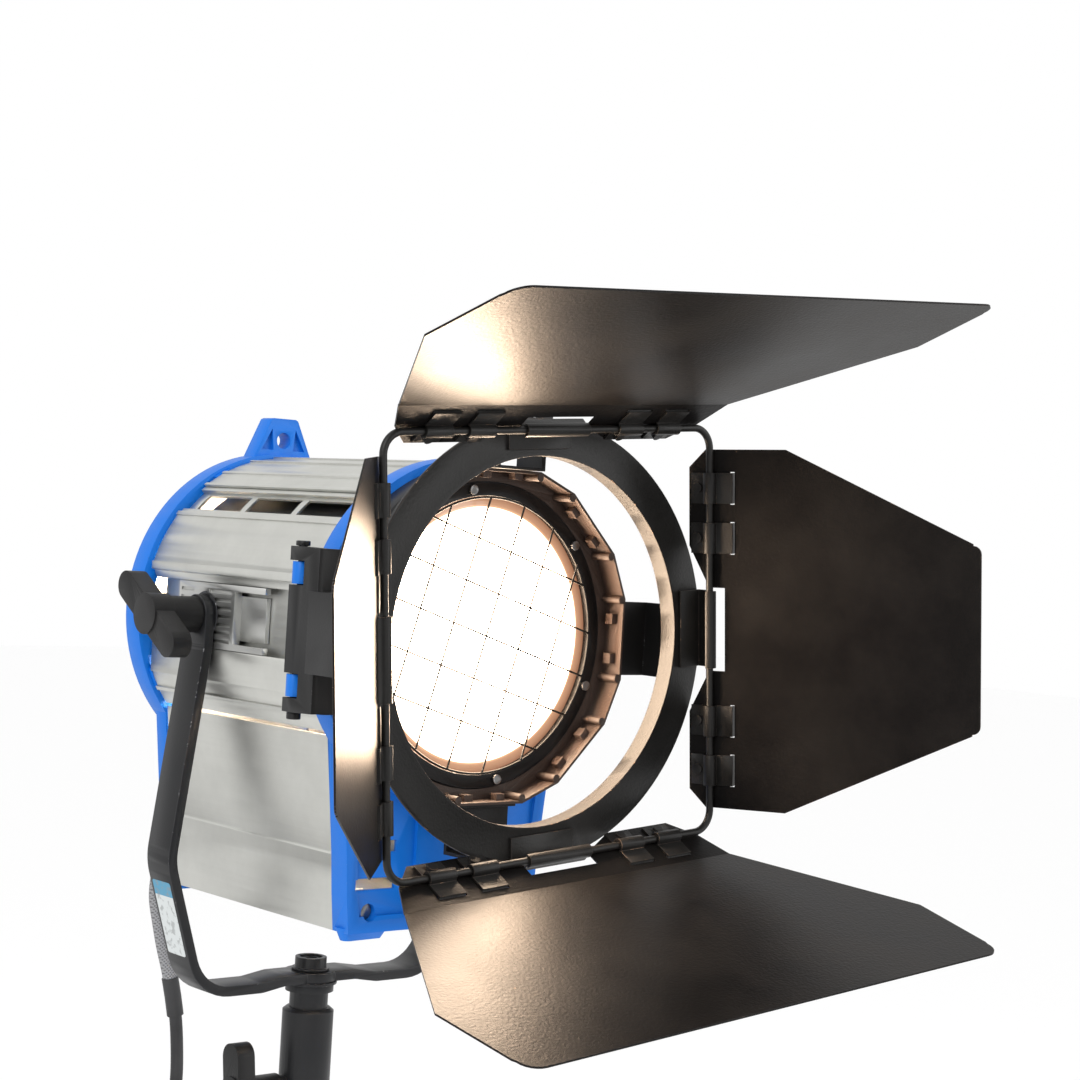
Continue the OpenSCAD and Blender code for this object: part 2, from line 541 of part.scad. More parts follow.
// ---------------------------------------------------------------- barndoor
module barndoor() head() rotate([0, -door_turn, 0]) children();
module barndoor_ring() color(BLACK) barndoor() turned_y() polygon([[ring_in, -ring_y - 0.8], [ring_in + 2, -ring_y],
    [ring_out, -ring_y], [ring_out, -ring_y + 2], [ring_in + 2, -ring_y + 2], [ring_in + 2, flange_y - 1],
    [flange_r, flange_y - 1], [flange_r, flange_y + 0.8], [ring_in, flange_y + 0.8]]);
rod_y = -ring_y - rod_rise;
rod_corner = 13;
module rod_side(len) translate([-len / 2, 0, 0]) rotate([0, 90, 0]) cylinder(h = len, d = rod_d);
module rod_frame() color(BLACK) barndoor() translate([0, rod_y, 0]) {
    for (a = [0:90:270]) rotate([0, a, 0]) {
        translate([0, 0, rod_half]) rod_side(2 * (rod_half - rod_corner));
        translate([rod_half - rod_corner, 0, rod_half - rod_corner]) rotate([90, 0, 0])
            rotate_extrude(angle = 90) translate([rod_corner, 0]) circle(d = rod_d, $fn = 32);
    }
}
bracket_w = 48;
module bracket_profile() {
    // Base on the ring, leg to the rod, and the curl round it
    translate([ring_in + 4, -ring_y - 2]) square([ring_out - ring_in - 4.6, 2]);
    polygon([[ring_out - 2.6, -ring_y], [ring_out - 0.6, -ring_y], [ring_out - 0.6, rod_y + 3.4],
        [rod_half + rod_d / 2 + 1, rod_y], [rod_half + rod_d / 2, rod_y], [rod_half + rod_d / 2, rod_y + 2],
        [ring_out - 2.6, rod_y + 4.4]]);
    translate([rod_half, rod_y]) intersection() {
        difference() { circle(rod_d / 2 + 1.8, $fn = 48); circle(rod_d / 2, $fn = 48); }
        translate([-9, -9]) square([18, 9.01]);
    }
}
module rod_brackets() color(BLACK) barndoor() for (a = [0:90:270]) rotate([0, a, 0])
    translate([0, 0, -bracket_w / 2]) linear_extrude(bracket_w) bracket_profile();

// Leaves: u runs along the rod, v away from it, and the sheet lies outside the rod
sheet_t = 1.2;
sheet_gap = rod_d / 2 + 0.5;
bend_v = 21;
bend_angle = 17;
clip_u = [57, 88];
clip_w = 19;
slot_v = 12.5;
slot_gap = 3;
function mirror_u(p) = concat(p, [for (k = [len(p) - 1:-1:0]) [-p[k][0], p[k][1]]]);
hinge_edge = [[bracket_w / 2 + 2, 9], [bracket_w / 2 + 2, -1.5], [52, -15], [101, -15], [112, -4]];
module leaf_slots() for (s = [-1, 1], u = clip_u) translate([s * u - clip_w / 2 - 0.6, slot_v])
    square([clip_w + 1.2, slot_gap]);
module leaf_sheet(p) translate([0, 0, -sheet_gap - sheet_t]) linear_extrude(sheet_t) difference() {
    polygon(mirror_u(p));
    leaf_slots();
}
module big_leaf() {
    leaf_sheet(concat(hinge_edge, [[116, 0], [126, bend_v]]));
    // The main panel turns inwards at the crease
    translate([0, bend_v, -sheet_gap - sheet_t]) rotate([bend_angle, 0, 0]) linear_extrude(sheet_t)
        polygon(mirror_u(concat([[125.4, 0], [126.2, 0.8], [185, 106], [180, big_len - bend_v - 13]],
            [for (k = [0:6]) [168 + 11 * cos(k * 15), big_len - bend_v - 11 + 11 * sin(k * 15)]])));
}
module small_leaf() leaf_sheet(concat(hinge_edge, [[112, 49], [57, small_len - 5],
    for (k = [0:4]) [51 + 5 * cos(k * 22.5), small_len - 5 + 5 * sin(k * 22.5)]]));
module clip_profile() {
    r = rod_d / 2 + 0.35;
    // Arch over the rod, legs down to the sheet, and a foot on each side
    intersection() {
        difference() { circle(r + 1.4, $fn = 48); circle(r, $fn = 48); }
        translate([-9, -0.01]) square([18, 9]);
    }
    for (s = [-1, 1]) translate([s > 0 ? r : -r - 1.4, -sheet_gap]) square([1.4, sheet_gap + 0.1]);
    translate([-13, -sheet_gap]) square([13 - r, 1.4]);
    translate([r, -sheet_gap]) square([slot_v + 2.2 - r, 1.4]);
    translate([slot_v + 0.6, -sheet_gap - sheet_t - 1.4]) square([1.6, sheet_t + 2.8]);
}
module clip_set() for (s = [-1, 1], u = clip_u) {
    translate([s * u - clip_w / 2, 0, 0]) rotate([90, 0, 90]) linear_extrude(clip_w) clip_profile();
    translate([s * u, -8.6, -sheet_gap + 1.4]) cylinder(h = 1.8, d = 6.5, $fn = 32);
}
module hinged(side, angle) barndoor() rotate([0, side, 0]) translate([0, rod_y, rod_half])
    rotate([180 - angle, 0, 0]) children();
module leaf_top() color(WORN) hinged(0, top_angle + bend_angle) big_leaf();
module leaf_bottom() color(WORN) hinged(180, bottom_angle + bend_angle) big_leaf();
module leaf_right() color(WORN) hinged(90, right_angle) small_leaf();
module leaf_left() color(WORN) hinged(270, left_angle) small_leaf();
module clips_top() color(BLACK) hinged(0, top_angle + bend_angle) clip_set();
module clips_bottom() color(BLACK) hinged(180, bottom_angle + bend_angle) clip_set();
module clips_right() color(BLACK) hinged(90, right_angle) clip_set();
module clips_left() color(BLACK) hinged(270, left_angle) clip_set();

// ---------------------------------------------------------------- cord
gland_x = -38;
gland_z = -145;
gland_tilt = 32;
// The cord's route in the lens frame: out of the gland, down, and over into the coil
cord_route = [[-38, 267, -159], [-38, 275, -164], [-37, 283, -171], [-36, 292, -181], [-35, 299, -193],
    [-33, 303, -208], [-29, 304, -224], [-25, 303, -242], [-20, 302, -260], [-16, 301, -278],
    [-13, 300, -296], [-11, 300, -314], [-10, 300, -330], [-10, 300, -345], [-9, 300, -355],
    [-5, 300, -365], [2, 300, -373]];
coil_c = [-38, 309, -413];
coil_mid = 47.5;
coil_layers = 3;
coil_half = coil_layers * cord_d / 2;
// The tail comes off the innermost layer and hangs down behind the coil to the plug
tail_x = coil_mid - cord_d;
tail_y = coil_half + cord_d / 2 + 0.5;
tail_len = 64;
module cable_gland() color(BLACK) head() translate([gland_x, rear_end - 4.4, gland_z]) {
    bar_y(-6, 0, 12);
    bar_y(0.02, 5, 22);
    // The strain relief bends down from a round collar
    translate([0, 9, 0]) rotate([-gland_tilt, 0, 0]) {
        sphere(d = 17, $fn = 48);
        rotate([-90, 0, 0]) cylinder(h = 26.2, d1 = 16, d2 = 11.5);
    }
}
function frame_at(t) = let (r = unit(cross(t, [0, 1, 0.0001])), n = cross(r, t)) [r, n];
function tangent(p, i) = unit(p[min(len(p) - 1, i + 1)] - p[max(0, i - 1)]);
module tube(p, r, sides = 10) {
    rings = [for (i = [0:len(p) - 1]) let (f = frame_at(tangent(p, i)))
        [for (k = [0:sides - 1]) p[i] + r * (cos(360 * k / sides) * f[0] + sin(360 * k / sides) * f[1])]];
    n = len(p);
    polyhedron(points = [for (q = rings) each q],
        faces = concat([[for (k = [0:sides - 1]) k]],
            [for (i = [0:n - 2], k = [0:sides - 1]) let (a = i * sides + k, b = i * sides + (k + 1) % sides)
                [b, a, a + sides, b + sides]],
            [[for (k = [sides - 1:-1:0]) (n - 1) * sides + k]]));
}
module cord_tube() color("#1b1b1b") head() difference() {
    union() {
        tube(cord_route, cord_d / 2);
        translate(coil_c) tube([for (k = [0:3]) [tail_x, tail_y, -k * tail_len / 3]], cord_d / 2);
    }
    translate(coil_c) turned_y() coil_section(0.02);
}
module coil_section(gap = 0) translate([coil_mid - coil_half - gap, -coil_half - gap])
    square(2 * (coil_half + gap));
module cord_coil() color("#1b1b1b") head() translate(coil_c) turned_y() coil_section();
module cord_tie() color("#303030") head() translate(coil_c) rotate([0, -140, 0]) {
    h = coil_half + 2;
    difference() {
        box(coil_mid - h, coil_mid + h, -h, h, -9, 9);
        turned_y() coil_section(0.05);
    }
}
module mains_plug() color(BLACK) head() translate(coil_c + [tail_x, tail_y, -tail_len]) {
    translate([0, 0, -26]) cylinder(h = 26, d1 = 16, d2 = 10.5);
    translate([0, 0, -54]) cylinder(h = 28.01, d1 = 38, d2 = 20);
    translate([0, 0, -60]) cylinder(h = 6.01, d = 38);
    for (s = [-1, 1]) translate([s * 9.5, 0, -79]) cylinder(h = 19.1, d = 4.8);
}

yoke();
stand_socket();
socket_nut();
socket_washer();
socket_handle();
slide_clamp_left();
slide_clamp_right();
pivot_bolts();
tilt_handle();
front_casting();
rear_casting();
shell_top();
vent_grille_left();
vent_grille_right();
side_extrusion_left();
side_extrusion_right();
lower_panel_left();
lower_panel_right();
bottom_plate();
light_baffle();
rear_cover();
cable_gland();
reflector();
bulb_glass();
bulb_base();
lamp_holder();
lamp_carriage();
guide_rods();
focus_spindle();
focus_knob();
door_frame();
door_skirt();
lens();
retaining_ring();
ring_screws();
wire_guard();
accessory_ears();
hinge_pin();
door_latch();
top_latch();
barndoor_ring();
rod_frame();
rod_brackets();
leaf_top();
leaf_bottom();
leaf_left();
leaf_right();
clips_top();
clips_bottom();
clips_left();
clips_right();
cord_tube();
cord_coil();
cord_tie();
mains_plug();
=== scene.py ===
# A studio spotlight with a stepped lens, on its yoke, with a four-leaf barndoor.
import json
import math

import bmesh
import bpy
from mathutils import Matrix, Vector


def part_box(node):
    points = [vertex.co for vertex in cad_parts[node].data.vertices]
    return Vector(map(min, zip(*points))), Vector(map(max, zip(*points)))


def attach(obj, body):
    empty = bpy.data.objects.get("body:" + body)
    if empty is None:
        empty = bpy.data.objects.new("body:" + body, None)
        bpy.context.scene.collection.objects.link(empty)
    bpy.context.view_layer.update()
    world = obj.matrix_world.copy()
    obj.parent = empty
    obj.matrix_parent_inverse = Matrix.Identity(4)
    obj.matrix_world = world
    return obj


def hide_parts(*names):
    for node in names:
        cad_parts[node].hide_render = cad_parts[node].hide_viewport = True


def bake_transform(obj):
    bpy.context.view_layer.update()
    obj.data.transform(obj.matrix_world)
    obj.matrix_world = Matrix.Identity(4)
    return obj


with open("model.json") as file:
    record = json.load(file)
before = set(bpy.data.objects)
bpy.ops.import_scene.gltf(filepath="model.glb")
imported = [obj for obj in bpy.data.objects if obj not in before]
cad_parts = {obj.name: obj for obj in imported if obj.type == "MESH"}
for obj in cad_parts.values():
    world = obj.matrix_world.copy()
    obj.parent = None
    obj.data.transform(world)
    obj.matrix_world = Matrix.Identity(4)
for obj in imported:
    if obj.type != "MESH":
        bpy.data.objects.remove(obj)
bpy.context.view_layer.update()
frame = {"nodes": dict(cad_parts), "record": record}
mm = 0.001

# The lens face's centre, and the tilt axis behind it, are what the head is set out from.
ring_low, ring_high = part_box("retaining_ring")
lens_centre = Vector((0.0, ring_low[1] + 3 * mm, (ring_low[2] + ring_high[2]) / 2))
body_of_node = {
    node: body for body, nodes in frame["record"]["behaviour"]["bodies"].items() for node in nodes
}


def from_lens(x, y, z):
    """A place in millimetres from the lens face's centre, in the frame's metres."""
    return lens_centre + Vector((x, y, z)) * mm


# ---- Camera -------------------------------------------------------------------------
# A portrait lens on a camera level with the lamp, to its left and in front.
bpy.ops.object.select_all(action="DESELECT")
bpy.ops.object.camera_add(location=(-0.8711, -1.2268, 0.3974))
camera = bpy.context.object
camera.name = "camera"
camera.rotation_euler = [math.radians(a) for a in (89.776, -3.344, -40.533)]
camera.data.sensor_width = 36
camera.data.lens = 75.3
bpy.context.scene.camera = camera


# ---- Cord ---------------------------------------------------------------------------
# The mains cord is round rubber, 9 mm thick. A braided sleeve covers its first stretch,
# and the rest is wound in a coil with a strap round it, its plug hanging behind.
cord_width = 9 * mm
sleeve_width = 10.6 * mm
cord_route = [
    (-38, 267, -159), (-38, 275, -164), (-37, 283, -171), (-36, 292, -181), (-35, 299, -193),
    (-33, 303, -208), (-29, 304, -224), (-25, 303, -242), (-20, 302, -260), (-16, 301, -278),
    (-13, 300, -296), (-11, 300, -314), (-10, 300, -330), (-10, 300, -345), (-9, 300, -355),
    (-5, 300, -365), (2, 300, -373),
]
sleeve_points = 10
coil_centre = from_lens(-38, 309, -413)
coil_mid = 47.5 * mm
coil_start = 45
tail_drop = 64 * mm


def smooth_between(value, low, high):
    """0 below low, 1 above high, and an even curve between."""
    t = min(1.0, max(0.0, (value - low) / (high - low)))
    return t * t * (3 - 2 * t)


def eased(points, steps):
    """A curve through the points, with that many steps from each to the next."""
    ends = [points[0] * 2 - points[1]] + points + [points[-1] * 2 - points[-2]]
    path = []
    for a, b, c, d in zip(ends, ends[1:], ends[2:], ends[3:]):
        for k in range(steps):
            t = k / steps
            path.append(
                b + (c - a) * t / 2 + (2 * a - 5 * b + 4 * c - d) * t * t / 2
                + (3 * b - a - 3 * c + d) * t ** 3 / 2
            )
    return path + [points[-1]]


def coil_point(angle):
    """Where the cord is after winding through that angle, in degrees, from the coil's start."""
    row = -1
    for turn in range(6):
        late = 120 if turn == 5 else 200
        step = 1 if turn in (0, 1, 4, 5) else -1
        row += step * smooth_between(angle, turn * 360 + late, turn * 360 + late + 120)
    layer = smooth_between(angle, 740, 890) + smooth_between(angle, 1460, 1610)
    row += smooth_between(angle, 5 * 360 + 240, 6 * 360 + 45) * 9.5 / 9
    radius = coil_mid + (1 - layer) * cord_width
    clock = math.radians(coil_start + angle)
    across, up = radius * math.sin(clock), radius * math.cos(clock)
    return coil_centre + Vector((across, row * cord_width, up))


def swept_tube(name, path, width, sides=14):
    """A closed tube along a path, its ends capped, with UVs that run along it."""
    curve = bpy.data.curves.new(name, "CURVE")
    curve.dimensions = "3D"
    curve.bevel_depth = width / 2
    curve.bevel_resolution = sides // 4
    curve.use_fill_caps = True
    spline = curve.splines.new("POLY")
    spline.points.add(len(path) - 1)
    for point, place in zip(spline.points, path):
        point.co = (*place, 1)
    piece = bpy.data.objects.new(name, curve)
    bpy.context.collection.objects.link(piece)
    bpy.ops.object.select_all(action="DESELECT")
    piece.select_set(True)
    bpy.context.view_layer.objects.active = piece
    bpy.ops.object.convert(target="MESH")
    piece = bpy.context.object
    bpy.ops.object.shade_smooth()
    return piece


route = [from_lens(*place) for place in cord_route]
sleeve_path = eased(route[:sleeve_points], 4)
lower_path = eased(route[sleeve_points - 1:], 4)
coil_path = [coil_point(angle) for angle in range(0, 6 * 360 + 46, 9)]
tail_path = [coil_path[-1] - Vector((0, 0, tail_drop * k / 8)) for k in range(1, 9)]
cord_path = lower_path + coil_path[1:] + tail_path


def new_material(name):
    """An empty node material, its Principled shader, and its node tree."""
    made = bpy.data.materials.new(name)
    made.use_nodes = True
    tree = made.node_tree
    return made, tree.nodes["Principled BSDF"], tree


def add_node(tree, kind, **settings):
    """A node of that kind. Settings whose names are inputs set or link them."""
    node = tree.nodes.new(kind)
    for key, value in settings.items():
        if hasattr(node, key):
            setattr(node, key, value)
            continue
        socket = node.inputs[int(key[1:])] if key[0] == "_" else node.inputs[key.replace("_", " ")]
        if isinstance(value, bpy.types.NodeSocket):
            tree.links.new(value, socket)
        else:
            socket.default_value = value
    return node


def rubber(name, colour, roughness):
    """Matt rubber with dust in it and a faint moulded grain."""
    made, shader, tree = new_material(name)
    place = add_node(tree, "ShaderNodeTexCoord").outputs["Object"]
    dust = add_node(tree, "ShaderNodeTexNoise", Vector=place, Scale=38.0, Detail=6.0)
    grain = add_node(tree, "ShaderNodeTexNoise", Vector=place, Scale=900.0, Detail=2.0)
    tint = add_node(tree, "ShaderNodeValToRGB", Fac=dust.outputs["Fac"])
    tint.color_ramp.elements[0].position = 0.35
    tint.color_ramp.elements[0].color = (*colour, 1)
    tint.color_ramp.elements[1].position = 0.8
    tint.color_ramp.elements[1].color = (*[c * 2.2 + 0.01 for c in colour], 1)
    tree.links.new(tint.outputs["Color"], shader.inputs["Base Color"])
    rough = add_node(tree, "ShaderNodeMapRange", Value=dust.outputs["Fac"])
    rough.inputs["To Min"].default_value = roughness - 0.08
    rough.inputs["To Max"].default_value = roughness + 0.12
    tree.links.new(rough.outputs["Result"], shader.inputs["Roughness"])
    bump = add_node(
        tree, "ShaderNodeBump", Height=grain.outputs["Fac"], Strength=0.25, Distance=0.0004
    )
    tree.links.new(bump.outputs["Normal"], shader.inputs["Normal"])
    return made


def braid(name, dark, light):
    """Woven glass-fibre sleeving: two sets of threads crossing on the slant."""
    made, shader, tree = new_material(name)
    place = add_node(tree, "ShaderNodeTexCoord").outputs["Object"]
    waves = []
    for turn in (0.7, -0.7):
        slanted = add_node(tree, "ShaderNodeMapping", Vector=place)
        slanted.inputs["Rotation"].default_value = (0, turn, 0)
        wave = add_node(tree, "ShaderNodeTexWave", Vector=slanted.outputs["Vector"], Scale=190.0)
        waves.append(wave.outputs["Fac"])
    woven = add_node(tree, "ShaderNodeMath", operation="MAXIMUM", _0=waves[0], _1=waves[1])
    tint = add_node(tree, "ShaderNodeMix", data_type="RGBA", Factor=woven.outputs[0])
    tint.inputs[6].default_value = (*dark, 1)
    tint.inputs[7].default_value = (*light, 1)
    tree.links.new(tint.outputs[2], shader.inputs["Base Color"])
    shader.inputs["Roughness"].default_value = 0.75
    bump = add_node(tree, "ShaderNodeBump", Height=woven.outputs[0], Strength=0.6, Distance=0.0006)
    tree.links.new(bump.outputs["Normal"], shader.inputs["Normal"])
    return made


cord_black = rubber("cord rubber", (0.012, 0.012, 0.013), 0.55)
sleeve_grey = braid("braided sleeve", (0.09, 0.09, 0.095), (0.3, 0.3, 0.31))

sleeve = swept_tube("cord_sleeve", sleeve_path, sleeve_width)
sleeve.data.materials.append(sleeve_grey)
cord = swept_tube("cord", cord_path, cord_width)
cord.data.materials.append(cord_black)
ferrule_path = sleeve_path[-4:] + lower_path[1:4]
ferrule = swept_tube("sleeve_ferrule", ferrule_path, sleeve_width + 1.2 * mm)
ferrule.data.materials.append(cord_black)
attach(ferrule, "clamps")
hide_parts("cord_tube", "cord_coil")
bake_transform(sleeve)
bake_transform(cord)


# ---- Finished metal -----------------------------------------------------------------
# Every cast, bent or turned piece gets small rounded edges, as a file or a tumbler leaves
# them, before its paint. The rounded edges take the second finish, where paint rubs off.
def active_mesh(piece):
    bpy.ops.object.select_all(action="DESELECT")
    piece.select_set(True)
    bpy.context.view_layer.objects.active = piece


def finished(node, finish, edge_finish=None, edge=0.5, segments=2, angle=32):
    """A copy of a CAD node with its edges rounded, in its finish, on the node's own body."""
    source = frame["nodes"][node]
    piece = bpy.data.objects.new(node + "_finished", source.data.copy())
    bpy.context.collection.objects.link(piece)
    piece.data.materials.clear()
    piece.data.materials.append(finish)
    piece.data.materials.append(edge_finish or finish)
    shape = bmesh.new()
    shape.from_mesh(piece.data)
    bmesh.ops.remove_doubles(shape, verts=shape.verts, dist=0.003 * mm)
    bmesh.ops.dissolve_limit(
        shape, angle_limit=math.radians(0.4), verts=shape.verts, edges=shape.edges
    )
    for face in shape.faces:
        face.material_index = 0
    shape.to_mesh(piece.data)
    shape.free()
    active_mesh(piece)
    if edge:
        bevel = piece.modifiers.new("rounded edges", "BEVEL")
        bevel.width = edge * mm
        bevel.segments = segments
        bevel.limit_method = "ANGLE"
        bevel.angle_limit = math.radians(angle)
        bevel.harden_normals = True
        bevel.material = 1
        bpy.ops.object.modifier_apply(modifier=bevel.name)
    bpy.ops.object.shade_smooth_by_angle(angle=math.radians(angle))
    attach(piece, body_of_node[node])
    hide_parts(node)
    return piece


def worn_coat_group():
    """Paint with a fine grain, cloudy soiling, and chips down to the metal where wear is high."""
    tree = bpy.data.node_groups.new("Worn coat", "ShaderNodeTree")
    face = tree.interface
    for socket, kind, value in (
        ("Paint", "NodeSocketColor", (0.02, 0.02, 0.02, 1)),
        ("Bare", "NodeSocketColor", (0.4, 0.4, 0.4, 1)),
        ("Wear", "NodeSocketFloat", 0.2),
        ("Soil", "NodeSocketFloat", 0.3),
        ("Grain", "NodeSocketFloat", 900.0),
        ("Roughness", "NodeSocketFloat", 0.4),
    ):
        face.new_socket(socket, in_out="INPUT", socket_type=kind).default_value = value
    for socket, kind in (
        ("Color", "NodeSocketColor"), ("Metallic", "NodeSocketFloat"),
        ("Roughness", "NodeSocketFloat"), ("Height", "NodeSocketFloat"),
    ):
        face.new_socket(socket, in_out="OUTPUT", socket_type=kind)
    given = tree.nodes.new("NodeGroupInput").outputs
    result = tree.nodes.new("NodeGroupOutput").inputs
    place = add_node(tree, "ShaderNodeTexCoord").outputs["Object"]
    clouds = add_node(
        tree, "ShaderNodeTexNoise", Vector=place, Scale=14.0, Detail=8.0, Roughness=0.62
    )
    chips = add_node(
        tree, "ShaderNodeTexNoise", Vector=place, Scale=150.0, Detail=9.0, Roughness=0.7
    )
    grain = add_node(tree, "ShaderNodeTexNoise", Vector=place, Scale=given["Grain"], Detail=2.0)
    low = add_node(tree, "ShaderNodeMath", operation="SUBTRACT", _0=1.0, _1=given["Wear"])
    high = add_node(tree, "ShaderNodeMath", operation="ADD", _0=low.outputs[0], _1=0.05)
    patchy = add_node(
        tree, "ShaderNodeMath", operation="MULTIPLY_ADD", _0=clouds.outputs["Fac"], _1=0.5
    )
    tree.links.new(chips.outputs["Fac"], patchy.inputs[2])
    worn = add_node(
        tree, "ShaderNodeMapRange", Value=patchy.outputs[0], interpolation_type="SMOOTHSTEP"
    )
    tree.links.new(low.outputs[0], worn.inputs["From Min"])
    tree.links.new(high.outputs[0], worn.inputs["From Max"])
    soil = add_node(tree, "ShaderNodeMapRange", Value=clouds.outputs["Fac"])
    soil.inputs["From Min"].default_value = 0.35
    soil.inputs["From Max"].default_value = 0.75
    soiled = add_node(
        tree, "ShaderNodeMath", operation="MULTIPLY", _0=soil.outputs["Result"], _1=given["Soil"]
    )
    dull = add_node(tree, "ShaderNodeMix", data_type="RGBA", Factor=soiled.outputs[0])
    tree.links.new(given["Paint"], dull.inputs[6])
    greyed = add_node(tree, "ShaderNodeMix", data_type="RGBA", Factor=0.35)
    tree.links.new(given["Paint"], greyed.inputs[6])
    greyed.inputs[7].default_value = (0.11, 0.1, 0.09, 1)
    tree.links.new(greyed.outputs[2], dull.inputs[7])
    colour = add_node(tree, "ShaderNodeMix", data_type="RGBA", Factor=worn.outputs["Result"])
    tree.links.new(dull.outputs[2], colour.inputs[6])
    tree.links.new(given["Bare"], colour.inputs[7])
    tree.links.new(colour.outputs[2], result["Color"])
    tree.links.new(worn.outputs["Result"], result["Metallic"])
    rough = add_node(
        tree, "ShaderNodeMath", operation="MULTIPLY_ADD", _0=clouds.outputs["Fac"], _1=0.16
    )
    tree.links.new(given["Roughness"], rough.inputs[2])
    tree.links.new(rough.outputs[0], result["Roughness"])
    deep = add_node(
        tree, "ShaderNodeMath", operation="MULTIPLY", _0=worn.outputs["Result"], _1=-1.5
    )
    height = add_node(
        tree, "ShaderNodeMath", operation="ADD", _0=grain.outputs["Fac"], _1=deep.outputs[0]
    )
    tree.links.new(height.outputs[0], result["Height"])
    return tree


worn_coat = worn_coat_group()


def coated(name, paint, bare, wear, soil=0.3, grain=900.0, roughness=0.4, relief=0.12, gloss=0.3):
    """A painted or moulded finish made with the worn coat."""
    made, shader, tree = new_material(name)
    shader.inputs["Specular IOR Level"].default_value = gloss
    coat = add_node(tree, "ShaderNodeGroup", node_tree=worn_coat)
    coat.inputs["Paint"].default_value = (*paint, 1)
    coat.inputs["Bare"].default_value = (*bare, 1)
    coat.inputs["Wear"].default_value = wear
    coat.inputs["Soil"].default_value = soil
    coat.inputs["Grain"].default_value = grain
    coat.inputs["Roughness"].default_value = roughness
    tree.links.new(coat.outputs["Color"], shader.inputs["Base Color"])
    tree.links.new(coat.outputs["Metallic"], shader.inputs["Metallic"])
    tree.links.new(coat.outputs["Roughness"], shader.inputs["Roughness"])
    bump = add_node(
        tree, "ShaderNodeBump", Height=coat.outputs["Height"], Strength=relief, Distance=0.0005
    )
    tree.links.new(bump.outputs["Normal"], shader.inputs["Normal"])
    return made


def drawn_metal(name, colour, roughness, along="Y", streak=0.5):
    """Bare metal with the fine lines that drawing or extruding leaves along one direction."""
    made, shader, tree = new_material(name)
    place = add_node(tree, "ShaderNodeTexCoord").outputs["Object"]
    stretched = add_node(tree, "ShaderNodeMapping", Vector=place)
    stretched.inputs["Scale"].default_value = [0.012 if axis == along else 1 for axis in "XYZ"]
    lines = add_node(
        tree, "ShaderNodeTexNoise", Vector=stretched.outputs["Vector"], Scale=420.0, Detail=6.0
    )
    clouds = add_node(
        tree, "ShaderNodeTexNoise", Vector=place, Scale=17.0, Detail=7.0, Roughness=0.65
    )
    tint = add_node(tree, "ShaderNodeMix", data_type="RGBA", Factor=clouds.outputs["Fac"])
    tint.inputs[6].default_value = (*[c * 0.74 for c in colour], 1)
    tint.inputs[7].default_value = (*[min(1, c * 1.12) for c in colour], 1)
    tree.links.new(tint.outputs[2], shader.inputs["Base Color"])
    shader.inputs["Metallic"].default_value = 1
    rough = add_node(
        tree, "ShaderNodeMath", operation="MULTIPLY_ADD", _0=lines.outputs["Fac"], _1=0.22
    )
    rough.inputs[2].default_value = roughness - 0.1
    tree.links.new(rough.outputs[0], shader.inputs["Roughness"])
    bump = add_node(
        tree, "ShaderNodeBump", Height=lines.outputs["Fac"], Strength=streak * 0.3, Distance=0.0003
    )
    tree.links.new(bump.outputs["Normal"], shader.inputs["Normal"])
    return made


steel_edge = (0.42, 0.42, 0.43)
black_coat = coated(
    "black powder coat", (0.008, 0.0085, 0.01), steel_edge,
    wear=0.0, soil=0.2, roughness=0.3,
)
black_edge = coated(
    "rubbed black edge", (0.02, 0.021, 0.024), (0.3, 0.3, 0.31),
    wear=0.13, soil=0.3, roughness=0.3,
)
plain_steel = drawn_metal("plain steel", (0.3, 0.3, 0.3), 0.38, "Z")


# ---- Yoke and stand socket ----------------------------------------------------------
# The yoke is flat steel bar bent to a U and powder coated. The stand socket is turned
# steel, bolted under it with a flanged nut, and its T-handle clamps the stand's spigot.
finished("yoke", black_coat, black_edge, 0.8, 3)
finished("stand_socket", black_coat, black_edge, 0.7, 3)
for node in ("socket_nut", "socket_washer"):
    finished(node, black_coat, black_edge, 0.4)


# ---- Label --------------------------------------------------------------------------
# A blank printed label on the outside of the left arm, between its bend and its foot.
# It is white card under clear film, with a blue band along its upper edge.
bend = Vector((-119.55, 0, -155)) * mm
foot = Vector((-92.55, 0, -240)) * mm
bar_half = 3.25 * mm
label_size = (21 * mm, 50 * mm)
label_drop = 38 * mm
film = 0.1 * mm
label_down = (foot - bend).normalized()
label_out = label_down.cross(Vector((0, 1, 0)))
if label_out.x > 0:
    label_out.negate()
pivot = Vector(frame["record"]["behaviour"]["joints"][0]["pos_m"])
label_middle = pivot + bend + label_down * label_drop + label_out * (bar_half + film)


